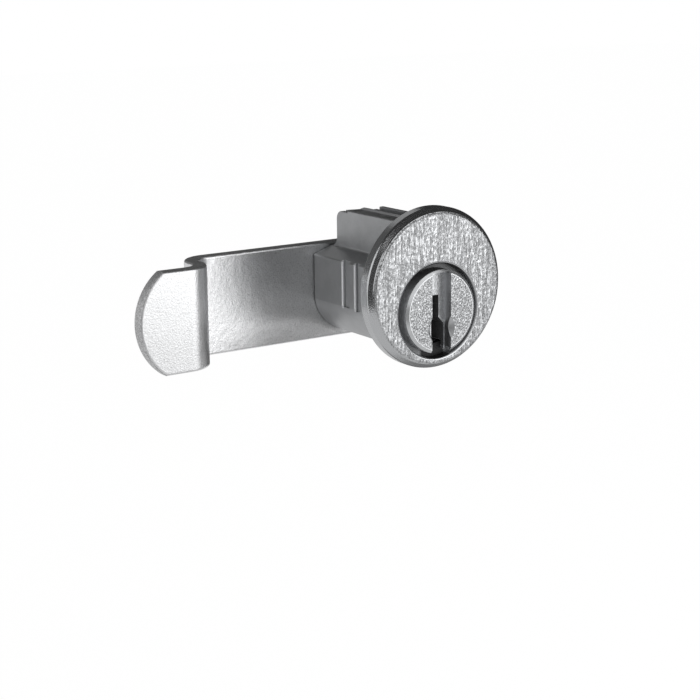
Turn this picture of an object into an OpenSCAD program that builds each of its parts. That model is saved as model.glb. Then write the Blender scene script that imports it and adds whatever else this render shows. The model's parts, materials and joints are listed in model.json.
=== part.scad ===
// Mailbox cam lock: a pin-tumbler lock with a round head, a flat-sided body and a long hooked cam.
// Sizes are in millimetres. +Z is up, the face looks along -Y and the cam points along -X.
// The origin is on the head's axis, in the plane of the head's rear face, which seats on the door.
// The pins are drawn as a key would hold them, at the shear line, so that the plug can turn.

/* [Head] */
// Diameter of the round head
head_d = 22.2; // [21:0.1:26]
// Thickness of the head, from its face to the door
head_t = 2.4; // [2.2:0.1:4]
// Width of the bevel round the head's face, seen from the front
head_bevel_w = 0.79; // [0.3:0.01:1]
// Depth of the bevel along the head's side
head_bevel_h = 0.96; // [0.4:0.02:1.4]
// Rounding where the bevel meets the face and the side
head_edge_r = 0.55; // [0.1:0.05:0.6]
// Metal between the plug's recess and the head's lowest point
head_rim = 1.53; // [1.2:0.01:2]
// Depth of the recess that takes the plug's head
recess_depth = 1.5; // [1:0.1:1.8]
// Open gap round the plug's head, in the recess
recess_gap = 0.71; // [0.4:0.01:0.9]
// Rounding of the recess's mouth
recess_lip_r = 0.35; // [0.1:0.05:0.45]

/* [Plug] */
// Diameter of the plug where it turns in the shell
plug_d = 9.5; // [8.5:0.1:10.5]
// Width of the shoulder under the plug's head
plug_shoulder = 1.04; // [0.6:0.01:1.4]
// Height of the plug's face above the head's face
plug_proud = 0.75; // [0.2:0.01:1.5]
// Width of the bevel round the plug's face, seen from the front
plug_bevel_w = 0.4; // [0.2:0.05:0.6]
// Depth of the bevel along the plug's side
plug_bevel_h = 0.3; // [0.2:0.05:0.6]
// Rounding where the bevel meets the plug's face and side
plug_edge_r = 0.12; // [0.05:0.01:0.15]
// Width of the groove across the plug's face
face_groove_w = 3.15; // [2.2:0.05:4]
// Depth of the groove across the plug's face
face_groove_depth = 1.6; // [0.5:0.01:2]
// Rim that closes the groove at the top
groove_rim = 0.36; // [0.3:0.02:0.8]
// Diameter of the key's lead-in, countersunk in the plug's face
lead_in_d = 4.4; // [3.4:0.1:5]
// Distance of the lead-in below the plug's axis
lead_in_drop = 2.28; // [1.5:0.01:2.6]
// Depth of the lead-in
lead_in_depth = 0.7; // [0.3:0.05:1]

/* [Keyway] */
// Distance of the keyway's left wall from the plug's axis
keyway_left = 0.6; // [0.4:0.05:0.8]
// Distance of the keyway's right wall from the axis, in the narrow upper part
keyway_right = 0.63; // [0.4:0.01:0.8]
// Distance of the keyway's right wall from the axis, in the wide lower part
keyway_wide = 1.5; // [1:0.05:1.5]
// Height of the keyway's top above the plug's axis
keyway_top = 2.07; // [1.5:0.01:2.4]
// Distance of the narrow part's lower end below the plug's axis
keyway_step = 1.03; // [0.5:0.01:1.5]
// Height of the slope between the narrow and the wide part
keyway_slope = 1; // [0.5:0.1:1.5]
// Length of the keyway behind the last pin chamber
keyway_tail = 0.5; // [0.2:0.05:0.7]

/* [Body] */
// Thickness of the barrel's wall round the plug
barrel_wall = 1.5; // [1.2:0.05:2]
// How far the flat sides stand proud of the barrel
side_step = 0.05; // [0.02:0.01:0.3]
// How far the flat sides reach below the plug's axis
side_drop = 0.88; // [0.5:0.01:1.5]
// Height of the flat sides' upper edge above the plug's axis
side_rise = 5.51; // [4.5:0.01:6]
// Slope of the shoulders up to the tower, in degrees
shoulder_slope = 19; // [5:1:30]
// Fillet between a shoulder and the tower
shoulder_fillet = 0.5; // [0.3:0.1:1.8]
// Fillet between the tower's rear and the body
rear_fillet = 1.5; // [0.4:0.1:1.6]
// Length of the body behind the tower
rear_step = 1.7; // [1.6:0.1:3]
// Rounding of the body's side edges, along the shoulders and at the rear
body_edge_r = 0.35; // [0.1:0.05:0.6]

/* [Tower] */
// Width of the pin tower
tower_w = 6.72; // [6:0.02:7.5]
// Wall behind the last pin chamber
tower_wall = 1.25; // [1.25:0.05:2]
// Rounding of the tower's upper rear corner, which the cover stops short of
tower_edge_r = 1.2; // [0.3:0.1:1.2]
// Width of the rails along the tower's top
rail_w = 0.75; // [0.5:0.05:1]
// Height of the rails above the tower's top
rail_h = 0.6; // [0.6:0.02:0.9]
// Rounding of the rails' upper edges
rail_edge_r = 0.12; // [0.05:0.01:0.2]
// Distance from the left rail's step to the tower's rear
left_rail_back = 2.8; // [1:0.1:4]
// Distance from the right rail's end to the tower's rear
right_rail_back = 2.1; // [1:0.1:4]
// Height of the left rail behind its step
rail_tail_h = 0.38; // [0.2:0.02:0.5]

/* [Clip grooves] */
// Depth of the clip grooves in the flat sides
clip_groove_depth = 0.45; // [0.2:0.05:0.8]
// Distance of the front groove behind the door's seat
front_groove_y = 7.4; // [6:0.1:8]
// Width of the front groove
front_groove_w = 1; // [0.8:0.1:1.6]
// Land between the two grooves
groove_land = 1.4; // [0.8:0.1:1.6]
// Width of the rear groove
rear_groove_w = 1.7; // [1.2:0.1:2.4]
// Distance of the front groove's lower end below the plug's axis
front_groove_drop = 1.18; // [0.6:0.02:2]
// Distance of the rear groove's lower end below the plug's axis
rear_groove_drop = 0.98; // [0.6:0.02:2]
// Rounding of the grooves' lower corners
groove_corner_r = 0.35; // [0.1:0.05:0.4]
// Rounding of the grooves' rear edges, as a share of their depth
groove_edge = 0.8; // [0.2:0.05:0.9]

/* [Tumblers] */
// Diameter of the pins
pin_d = 2.6; // [2.2:0.05:2.7]
// Distance between neighbouring pins
pin_pitch = 3.1; // [3:0.05:3.6]
// Distance of the first pin behind the door's seat
first_pin_y = 2.3; // [2.2:0.05:4]
// Length of a driver pin
driver_len = 2.4; // [2:0.1:3.5]
// Chamfer at both ends of a driver pin
driver_chamfer = 0.22; // [0.1:0.02:0.4]
// Length of the shortest key pin above its cone
key_pin_len = 2; // [1.6:0.1:2.2]
// Difference in length between one key cut and the next
cut_height = 0.35; // [0.2:0.05:0.4]
// Height of a key pin's cone
pin_cone = 0.7; // [0.4:0.1:0.9]
// Diameter of the flat end of a key pin's cone
pin_tip_d = 0.8; // [0.5:0.1:1]
// Depth of the pin chambers below the plug's surface
chamber_depth = 4.28; // [4.2:0.02:4.6]
// Length of a driver spring between pin and cover
spring_len = 3.4; // [3:0.1:4.5]
// Thickness of the spring wire
spring_wire_d = 0.28; // [0.2:0.02:0.34]
// How far a spring lies inside the outline of its pin
spring_inset = 0.15; // [0.05:0.05:0.3]

/* [Cover] */
// Thickness of the strip that closes the pin chambers
cover_t = 0.8; // [0.6:0.05:1.2]
// How far the cover's edges reach under the rails
cover_flare = 0.25; // [0.1:0.05:0.3]
// Metal between the door's seat and the cover's front end
cover_front = 0.5; // [0.3:0.1:1]
// Height of the cover's left edge above the tower's top
cover_left_h = 0.5; // [0.1:0.02:0.58]
// Height of the cover's valley, left of its rib
cover_valley_h = 0.4; // [0.1:0.02:0.5]
// Height of the cover's rib above the tower's top
cover_rib_h = 0.58; // [0.52:0.02:0.58]
// Distance from the cover's left edge to its rib
cover_rib_x = 3.1; // [2.5:0.1:3.5]
// Width of the cover's rib
cover_rib_w = 1.5; // [1:0.1:2]

/* [Cam] */
// Thickness of the cam
cam_t = 2; // [1.5:0.1:2.5]
// Width of the cam
cam_w = 14; // [12:0.05:15]
// Reach of the cam, from the plug's axis to its tip
cam_reach = 37.6; // [35:0.05:42]
// Rise of the arc at the cam's tip
cam_tip_rise = 3.6; // [1:0.1:4.5]
// Distance from the plug's axis to the near side of the cam's bend
cam_bend_x = 25.8; // [23:0.1:26.5]
// How far the bend brings the tip forward
cam_offset = 7.05; // [6.7:0.05:9]
// Inner radius of the two bends
cam_bend_r = 2.2; // [0.8:0.1:2.4]
// Rounding of the cam's edges
cam_edge_r = 0.35; // [0.1:0.05:0.6]

/* [Fastening] */
// Diameter of the plug's tail
tail_d = 6; // [5:0.1:7]
// Width of the tail across its two flats
tail_flats = 4.4; // [4:0.1:5]
// Thickness of the stop washer
stop_t = 1.02; // [0.6:0.02:1.4]
// How far the stop washer's tab reaches beyond the plug
stop_tab = 0.75; // [0.4:0.05:0.9]
// Angle that the stop washer's tab covers
stop_tab_angle = 40; // [20:1:60]
// Angle that the plug turns through
turn_angle = 90; // [60:5:120]
// Diameter of the cam screw's thread
screw_d = 3; // [2.5:0.1:3.4]
// Length of the cam screw under its head
screw_len = 3.8; // [3.4:0.1:4]
// Diameter of the cam screw's head
screw_head_d = 5.8; // [5:0.1:7]
// Height of the cam screw's head
screw_head_h = 1.7; // [1.2:0.1:2.4]
// Radius of the dome on the screw's head
screw_dome_r = 5.8; // [4:0.1:9]
// Depth of the cross recess in the screw's head
screw_cross_depth = 1; // [0.6:0.1:1.1]
// Width of the cross recess's slots
screw_cross_w = 0.7; // [0.5:0.05:1]
// Outer diameter of the lock washer
lock_washer_d = 6.4; // [6:0.1:7.5]
// Thickness of the lock washer
lock_washer_t = 0.6; // [0.4:0.05:1]
// Width of the lock washer's split
lock_split = 0.4; // [0.2:0.05:0.8]

/* [Clearances] */
// Radial clearance of the plug in its bore
plug_clear = 0.05; // [0.02:0.01:0.1]
// Radial clearance of the pins in their chambers
pin_clear = 0.05; // [0.02:0.01:0.1]
// Gap between a pin and what it meets at its end
pin_end_gap = 0.03; // [0.02:0.01:0.1]
// Gap between the cam and the body, and between the stop washer and its pocket
cam_gap = 0.12; // [0.05:0.01:0.3]
// Clearance of pieces that are slid or screwed together
fit_clear = 0.03; // [0.02:0.01:0.1]

/* [Hidden] */
$fn = 64;
// Overrun of a cut past the surface that it opens
over = 1;
// Straight steps along the arc of a rounded corner
arc_steps = 6;

// Lengths of the key pins in cut steps, from the front to the rear
bitting = [1, 3, 2, 4, 0];
pin_count = len(bitting);

// Radii and levels round the plug's axis
head_r = head_d / 2;
plug_r = plug_d / 2;
plug_head_r = plug_r + plug_shoulder;
recess_r = plug_head_r + recess_gap;
bore_r = plug_r + plug_clear;
barrel_r = bore_r + barrel_wall;
side_x = barrel_r + side_step;
axis_z = head_rim + recess_r - head_r;
shear_z = axis_z + plug_r;

// Places along the lock, from the door's seat to the rear
last_pin_y = first_pin_y + (pin_count - 1) * pin_pitch;
pin_r = pin_d / 2;
chamber_r = pin_r + pin_clear;
tower_len = last_pin_y + chamber_r + tower_wall;
body_len = tower_len + rear_step;
cam_y = body_len + cam_gap;
plug_end_y = cam_y - stop_t;
pocket_y = plug_end_y - cam_gap;
plug_face_y = -head_t - plug_proud;
keyway_end_y = last_pin_y + chamber_r + keyway_tail;
cam_back_y = cam_y + cam_t;
tail_end_y = cam_back_y - cam_gap;
screw_seat_y = cam_back_y + lock_washer_t;

// Heights in the tower
driver_z = shear_z + pin_end_gap;
spring_z = driver_z + driver_len;
chamber_top_z = spring_z + spring_len;
tower_top = chamber_top_z + cover_t;
chamber_floor_z = shear_z - chamber_depth;
key_pin_top_r = plug_r - pin_end_gap;

// Places across the body
tower_x = tower_w / 2;
channel_x = tower_x - rail_w;
side_top_z = axis_z + side_rise;
ridge_z = side_top_z + (side_x - tower_x) * tan(shoulder_slope);
rear_groove_y = front_groove_y + front_groove_w + groove_land;

// The cam's bends: outer radius and centres
cam_bend_out = cam_bend_r + cam_t;
near_bend = [-cam_bend_x + cam_bend_r, cam_y - cam_bend_r];
far_bend = [-cam_bend_x - cam_bend_out, cam_y - cam_offset + cam_bend_out];
cam_tip_r = (pow(cam_w / 2, 2) + pow(cam_tip_rise, 2)) / (2 * cam_tip_rise);

// The stop: the tab rests at its lower left and turns to the upper left
stop_rest_angle = 225;
stop_play = 2;

// A corner between two straight lines, as points along an arc of the given radius
function unit(v) = v / norm(v);
function corner_arc(before, corner, after, r) =
    let (u = unit(before - corner), w = unit(after - corner), half = acos(u * w) / 2)
    let (center = corner + unit(u + w) * r / sin(half))
    let (from = corner + u * r / tan(half) - center, to = corner + w * r / tan(half) - center)
    [for (k = [0:arc_steps]) center + r * unit(from + (to - from) * k / arc_steps)];

// A closed outline from corners given as [x, y, rounding]
function rounded(corners) = [
    for (i = [0:len(corners) - 1])
        let (count = len(corners), here = corners[i])
        let (before = corners[(i + count - 1) % count], after = corners[(i + 1) % count])
        each here[2] > 0
            ? corner_arc([before.x, before.y], [here.x, here.y], [after.x, after.y], here[2])
            : [[here.x, here.y]]
];

function pin_y(i) = first_pin_y + (i - 1) * pin_pitch;
function key_pin_body(i) = key_pin_len + cut_height * bitting[i - 1];

// A flat outline in X and Z, drawn out along Y
module along_y(y0, y1) {
    translate([0, y1, 0])
        rotate([90, 0, 0])
            linear_extrude(y1 - y0)
                children();
}

// A half outline of radius and height, turned round the Y axis with its height towards the front
module turned() {
    rotate([90, 0, 0])
        rotate_extrude()
            children();
}

// Half outline of a disc with a bevel round its front face, softened at both edges of the bevel
module disc_outline(r, h, bevel_w, bevel_h, edge) {
    polygon(rounded([
        [0, 0, 0],
        [r, 0, 0],
        [r, h - bevel_h, edge],
        [r - bevel_w, h, edge],
        [0, h, 0]
    ]));
}

// A flat outline in Y and Z, drawn out along X
module along_x(x0, x1) {
    translate([x0, 0, 0])
        rotate([90, 0, 90])
            linear_extrude(x1 - x0)
                children();
}

// Wedge from the axis, between two angles counted from +X towards +Z
module wedge(r, a0, a1) {
    far = 2 * r;
    mid = (a0 + a1) / 2;
    polygon([
        [0, 0],
        far * [cos(a0), sin(a0)],
        far * [cos((a0 + mid) / 2), sin((a0 + mid) / 2)],
        far * [cos(mid), sin(mid)],
        far * [cos((a1 + mid) / 2), sin((a1 + mid) / 2)],
        far * [cos(a1), sin(a1)]
    ]);
}

// Concave fillet between a shoulder and the tower, on the right
module fillet_outline() {
    center_x = tower_x + shoulder_fillet;
    slope_z = side_top_z + (side_x - center_x) * tan(shoulder_slope);
    center_z = slope_z + shoulder_fillet / cos(shoulder_slope);
    foot_x = center_x - shoulder_fillet * sin(shoulder_slope);
    foot_z = center_z - shoulder_fillet * cos(shoulder_slope);
    difference() {
        polygon([
            [tower_x - fit_clear, center_z],
            [tower_x - fit_clear, side_top_z],
            [foot_x, side_top_z],
            [foot_x, foot_z],
            [center_x, center_z]
        ]);
        translate([center_x, center_z])
            circle(shoulder_fillet);
    }
}

// Cross section of the body behind the head, without the tower
module body_outline() {
    translate([0, axis_z])
        circle(barrel_r);
    polygon(rounded([
        [-side_x, axis_z - side_drop, 0],
        [side_x, axis_z - side_drop, 0],
        [side_x, side_top_z, body_edge_r],
        [tower_x, ridge_z, 0],
        [-tower_x, ridge_z, 0],
        [-side_x, side_top_z, body_edge_r]
    ]));
}

// Dovetail section that the cover fills, reduced by a clearance at its sides
module dovetail_outline(clear) {
    top_x = channel_x - clear;
    foot_x = channel_x + cover_flare - clear;
    polygon([
        [-foot_x, chamber_top_z],
        [foot_x, chamber_top_z],
        [top_x, tower_top],
        [-top_x, tower_top]
    ]);
}

// A block seen from above, with rounded rear corners, as high as the whole lock
module rear_rounded(half_w, y1) {
    translate([0, 0, -head_d])
        linear_extrude(2 * head_d)
            polygon(rounded([
                [-half_w, 0, 0],
                [half_w, 0, 0],
                [half_w, y1, body_edge_r],
                [-half_w, y1, body_edge_r]
            ]));
}

// One rail along the tower's top, on the left or the right of the cover
module rail(x0, length, h) {
    along_y(0, length)
        polygon(rounded([
            [x0, tower_top, 0],
            [x0 + rail_w, tower_top, 0],
            [x0 + rail_w, tower_top + h, rail_edge_r],
            [x0, tower_top + h, rail_edge_r]
        ]));
}

// Concave fillet between the tower's rear and the body's top, in Y and Z
module rear_fillet_outline() {
    difference() {
        translate([tower_len - fit_clear, ridge_z - fit_clear])
            square([rear_fillet + fit_clear, rear_fillet + fit_clear]);
        translate([tower_len + rear_fillet, ridge_z + rear_fillet])
            circle(rear_fillet);
    }
}

// The tower with its fillets, rails, a stop for the cover and a rounded rear corner
module tower() {
    difference() {
        union() {
            along_y(0, tower_len)
                translate([-tower_x, shear_z])
                    square([tower_w, tower_top - shear_z]);
            along_y(0, tower_len) {
                fillet_outline();
                mirror([1, 0])
                    fillet_outline();
            }
            along_x(-tower_x, tower_x)
                rear_fillet_outline();
            rail(-tower_x, tower_len - left_rail_back, rail_h);
            rail(-tower_x, tower_len, rail_tail_h);
            rail(channel_x, tower_len - right_rail_back, rail_h);
            translate([-tower_x + rail_w / 2, 0, tower_top])
                cube([tower_w - rail_w, cover_front, rail_h]);
        }
        translate([0, tower_len - tower_edge_r, tower_top + rail_tail_h - tower_edge_r])
            rotate([0, 90, 0])
                difference() {
                    translate([-2 * tower_edge_r, 0, -tower_w])
                        cube([2 * tower_edge_r, 2 * tower_edge_r, 2 * tower_w]);
                    cylinder(h = 3 * tower_w, r = tower_edge_r, center = true);
                }
    }
}

// Section of a clip groove seen from above, on the right, with a rounded rear edge
module groove_plan(y, w) {
    floor_x = side_x - clip_groove_depth;
    edge_r = groove_edge * clip_groove_depth;
    rear = y + w;
    polygon(concat(
        [[floor_x, y], [side_x + over, y], [side_x + over, rear + edge_r]],
        corner_arc([side_x, rear + over], [side_x, rear], [floor_x, rear], edge_r),
        [[floor_x, rear]]
    ));
}

// One clip groove, cut in both flat sides and open at the top
module clip_groove(y, w, drop) {
    low = axis_z - drop;
    high = side_top_z + over;
    rear = y + w + clip_groove_depth;
    for (side = [0, 1])
        mirror([side, 0, 0])
            intersection() {
                along_x(side_x - 2 * clip_groove_depth, side_x + over)
                    polygon(rounded([
                        [y, low, groove_corner_r],
                        [rear, low, groove_corner_r],
                        [rear, high, 0],
                        [y, high, 0]
                    ]));
                translate([0, 0, low])
                    linear_extrude(high - low)
                        groove_plan(y, w);
            }
}

// Half section of the recess for the plug's head, with a rounded mouth
module recess_outline() {
    lip_h = head_t - recess_lip_r;
    translate([0, head_t - recess_depth])
        square([recess_r, recess_depth + over]);
    difference() {
        translate([0, lip_h])
            square([recess_r + recess_lip_r, recess_lip_r + over]);
        translate([recess_r + recess_lip_r, lip_h])
            circle(recess_lip_r);
    }
}

// Die-cast body in one piece with the head and the pin tower
module shell() {
    color("silver")
        difference() {
            union() {
                turned()
                    disc_outline(head_r, head_t, head_bevel_w, head_bevel_h, head_edge_r);
                intersection() {
                    along_y(0, body_len)
                        body_outline();
                    rear_rounded(side_x, body_len);
                }
                tower();
            }
            // Recess for the plug's head and bore for the plug
            translate([0, 0, axis_z]) {
                turned()
                    recess_outline();
                along_y(-head_t, body_len + over)
                    circle(bore_r);
            }
            // Pocket for the stop washer's tab
            translate([0, 0, axis_z])
                along_y(pocket_y, body_len + over)
                    intersection() {
                        circle(plug_r + stop_tab + cam_gap);
                        wedge(
                            barrel_r,
                            stop_rest_angle - turn_angle - stop_tab_angle / 2 - stop_play,
                            stop_rest_angle + stop_tab_angle / 2 + stop_play
                        );
                    }
            // Pin chambers and the dovetail for their cover
            for (i = [1:pin_count])
                translate([0, pin_y(i), axis_z])
                    cylinder(h = chamber_top_z + over - axis_z, r = chamber_r);
            along_y(cover_front, tower_len + over)
                dovetail_outline(0);
            clip_groove(front_groove_y, front_groove_w, front_groove_drop);
            clip_groove(rear_groove_y, rear_groove_w, rear_groove_drop);
        }
}

// Upper part of the cover's section: flush with the left rail, ribbed, and falling to the right
module cover_crown() {
    edge_x = channel_x - fit_clear;
    rib_x = cover_rib_x - edge_x;
    polygon(rounded([
        [-edge_x, tower_top - cover_t / 2, 0],
        [edge_x, tower_top - cover_t / 2, 0],
        [edge_x, tower_top, 0],
        [rib_x + cover_rib_w / 2, tower_top + cover_valley_h, 0],
        [rib_x, tower_top + cover_rib_h, cover_rib_w / 2],
        [rib_x - cover_rib_w / 2, tower_top + cover_valley_h, 0],
        [-edge_x, tower_top + cover_left_h, 0]
    ]));
}

// Formed strip that closes the pin chambers, slid into the tower's dovetail from the rear
module tumbler_cover() {
    color("gainsboro")
        along_y(cover_front + fit_clear, tower_len - tower_edge_r) {
            dovetail_outline(fit_clear);
            cover_crown();
        }
}

// Section of the keyway, seen from the front with the plug's axis at its origin
module keyway_outline() {
    low = plug_head_r + over;
    polygon([
        [-keyway_left, keyway_top],
        [keyway_right, keyway_top],
        [keyway_right, -keyway_step],
        [keyway_wide, -keyway_step - keyway_slope],
        [keyway_wide, -low],
        [-keyway_left, -low]
    ]);
}

// Tail section with two flats, which turns the stop washer and the cam
module tail_outline(clear) {
    intersection() {
        circle(tail_d / 2 + clear);
        square([tail_d + 2 * over, tail_flats + 2 * clear], center = true);
    }
}

// One pin chamber in the plug, with a drilled cone at its floor
module plug_chamber(i) {
    translate([0, pin_y(i), chamber_floor_z])
        cylinder(h = chamber_depth + over, r = chamber_r);
    translate([0, pin_y(i), chamber_floor_z - pin_cone])
        cylinder(h = pin_cone, r1 = pin_tip_d / 2 + pin_clear, r2 = chamber_r);
}

// Turning plug with its head, face groove, keyway, pin chambers and tail
module plug() {
    head_h = plug_proud + recess_depth;
    color("lightgray")
        difference() {
            translate([0, 0, axis_z])
                difference() {
                    union() {
                        translate([0, recess_depth - head_t, 0])
                            turned()
                                disc_outline(plug_head_r, head_h, plug_bevel_w, plug_bevel_h, plug_edge_r);
                        along_y(recess_depth - head_t, plug_end_y)
                            circle(plug_r);
                        along_y(plug_end_y, tail_end_y)
                            tail_outline(0);
                    }
                    along_y(plug_face_y - over, plug_face_y + face_groove_depth)
                        translate([-face_groove_w / 2, -plug_head_r - over])
                            square([face_groove_w, 2 * plug_head_r + over - groove_rim]);
                    translate([0, plug_face_y, -lead_in_drop])
                        rotate([-90, 0, 0])
                            cylinder(h = lead_in_depth, d1 = lead_in_d, d2 = lead_in_d - 2 * lead_in_depth);
                    along_y(plug_face_y - over, keyway_end_y)
                        keyway_outline();
                    along_y(screw_seat_y - screw_len - fit_clear, tail_end_y + over)
                        circle(screw_d / 2 + fit_clear);
                }
            for (i = [1:pin_count])
                plug_chamber(i);
        }
}

// Bottom pin with a crowned top that stays inside the plug, and a cone for the key
module key_pin(i) {
    body = key_pin_body(i);
    top_z = axis_z + key_pin_top_r;
    color("goldenrod")
        translate([0, pin_y(i), 0])
            rotate_extrude() {
                intersection() {
                    translate([0, top_z - body])
                        square([pin_r, body]);
                    translate([0, axis_z])
                        circle(key_pin_top_r);
                }
                polygon([
                    [0, top_z - body - pin_cone],
                    [pin_tip_d / 2, top_z - body - pin_cone],
                    [pin_r, top_z - body],
                    [0, top_z - body]
                ]);
            }
}

// Top pin with chamfered ends, above the shear line
module driver_pin(i) {
    color("khaki")
        translate([0, pin_y(i), driver_z])
            rotate_extrude()
                polygon([
                    [0, 0],
                    [pin_r - driver_chamfer, 0],
                    [pin_r, driver_chamfer],
                    [pin_r, driver_len - driver_chamfer],
                    [pin_r - driver_chamfer, driver_len],
                    [0, driver_len]
                ]);
}

// Coil spring between a driver pin and the cover, swept as a round wire along a helix
module driver_spring(i) {
    turns = 5.5;
    turn_steps = 12;
    sides = 6;
    rings = turns * turn_steps;
    wire_r = spring_wire_d / 2;
    coil_r = pin_r - wire_r - spring_inset;
    rise = spring_len - 2 * wire_r - 2 * pin_end_gap;
    points = [
        for (k = [0:rings], s = [0:sides - 1])
            let (turn = 360 * k / turn_steps, around = 360 * s / sides)
            let (reach = coil_r + wire_r * cos(around))
            [reach * cos(turn), reach * sin(turn), rise * k / rings + wire_r * sin(around)]
    ];
    walls = [
        for (k = [0:rings - 1], s = [0:sides - 1])
            let (next = (s + 1) % sides)
            [k * sides + s, (k + 1) * sides + s, (k + 1) * sides + next, k * sides + next]
    ];
    front_cap = [for (s = [0:sides - 1]) s];
    rear_cap = [for (s = [0:sides - 1]) rings * sides + sides - 1 - s];
    color("dimgray")
        translate([0, pin_y(i), spring_z + wire_r + pin_end_gap])
            polyhedron(points, concat(walls, [front_cap], [rear_cap]));
}

// Washer keyed to the plug's tail, with a tab that limits the turn
module stop_washer() {
    color("darkgray")
        translate([0, 0, axis_z])
            along_y(plug_end_y, cam_y)
                difference() {
                    union() {
                        circle(plug_r);
                        intersection() {
                            circle(plug_r + stop_tab);
                            wedge(
                                barrel_r,
                                stop_rest_angle - stop_tab_angle / 2,
                                stop_rest_angle + stop_tab_angle / 2
                            );
                        }
                    }
                    tail_outline(fit_clear);
                }
}

// Section of the strip: its thickness across and its width upwards, with rounded edges
module cam_section() {
    translate([0, -cam_w / 2])
        polygon(rounded([
            [0, 0, cam_edge_r],
            [cam_t, 0, cam_edge_r],
            [cam_t, cam_w, cam_edge_r],
            [0, cam_w, cam_edge_r]
        ]));
}

// A quarter bend of the strip about an upright axis, from the start angle onwards
module cam_bend(center, start) {
    translate([center.x, center.y, 0])
        rotate_extrude(angle = 90, start = start)
            translate([cam_bend_r, 0])
                cam_section();
}

// The bent strip with its ends still square
module cam_strip() {
    along_x(near_bend.x, cam_w / 2)
        translate([cam_y, 0])
            cam_section();
    cam_bend(near_bend, 90);
    along_y(far_bend.y, near_bend.y)
        translate([-cam_bend_x - cam_t, 0])
            cam_section();
    cam_bend(far_bend, 270);
    along_x(-cam_reach, far_bend.x)
        translate([cam_y - cam_offset, 0])
            cam_section();
}

// Ring that rounds one edge of an arched end, on the side that faces the front
module edge_ring(r) {
    turned()
        difference() {
            translate([r - cam_edge_r, -cam_edge_r])
                square([cam_edge_r + over, cam_edge_r + over]);
            translate([r - cam_edge_r, -cam_edge_r])
                circle(cam_edge_r);
        }
}

// Outline of the cam seen from the front: round behind the plug and arched at the tip
module cam_outline() {
    circle(cam_w / 2);
    intersection() {
        translate([-cam_reach, -cam_w / 2])
            square([cam_reach, cam_w]);
        union() {
            translate([-cam_reach + cam_tip_r, 0])
                circle(cam_tip_r);
            translate([-cam_reach + cam_tip_r, -cam_w / 2])
                square([cam_reach - cam_tip_r, cam_w]);
        }
    }
}

// Steel cam, bent forward near its end and keyed to the plug's tail
module cam() {
    color("whitesmoke")
        translate([0, 0, axis_z])
            difference() {
                intersection() {
                    cam_strip();
                    along_y(cam_y - cam_offset - over, cam_back_y + over)
                        cam_outline();
                }
                // Rounded edges of the arched tip, front and back
                translate([-cam_reach + cam_tip_r, cam_y - cam_offset, 0]) {
                    edge_ring(cam_tip_r);
                    translate([0, cam_t, 0])
                        mirror([0, 1, 0])
                            edge_ring(cam_tip_r);
                }
                along_y(cam_y - over, cam_back_y + over)
                    tail_outline(fit_clear);
            }
}

// Split spring washer under the screw's head
module lock_washer() {
    color("gray")
        translate([0, 0, axis_z])
            along_y(cam_back_y, screw_seat_y)
                difference() {
                    circle(lock_washer_d / 2);
                    circle(screw_d / 2 + 2 * fit_clear);
                    translate([0, -lock_split / 2])
                        square([lock_washer_d, lock_split]);
                }
}

// Pan-head screw with a cross recess, in the plug's tail
module cam_screw() {
    color("slategray")
        translate([0, 0, axis_z]) {
            along_y(screw_seat_y - screw_len, screw_seat_y)
                circle(screw_d / 2);
            difference() {
                intersection() {
                    along_y(screw_seat_y, screw_seat_y + screw_head_h)
                        circle(screw_head_d / 2);
                    translate([0, screw_seat_y + screw_head_h - screw_dome_r, 0])
                        sphere(screw_dome_r);
                }
                for (turn = [0, 90])
                    along_y(screw_seat_y + screw_head_h - screw_cross_depth, screw_seat_y + screw_head_h + over)
                        rotate(turn)
                            square([screw_head_d / 2, screw_cross_w], center = true);
            }
        }
}

shell();
tumbler_cover();
plug();
stop_washer();
cam();
lock_washer();
cam_screw();
key_pin(1);  // key_pin_1
key_pin(2);  // key_pin_2
key_pin(3);  // key_pin_3
key_pin(4);  // key_pin_4
key_pin(5);  // key_pin_5
driver_pin(1);  // driver_pin_1
driver_pin(2);  // driver_pin_2
driver_pin(3);  // driver_pin_3
driver_pin(4);  // driver_pin_4
driver_pin(5);  // driver_pin_5
driver_spring(1);  // driver_spring_1
driver_spring(2);  // driver_spring_2
driver_spring(3);  // driver_spring_3
driver_spring(4);  // driver_spring_4
driver_spring(5);  // driver_spring_5
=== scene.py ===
# Mailbox cam lock: finishes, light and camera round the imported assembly.
# Lengths are in metres, in the assembly's frame: +Z is up, the face looks along -Y, the cam along -X.
import json
import math

import bpy
import numpy as np
from mathutils import Matrix, Vector


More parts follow.
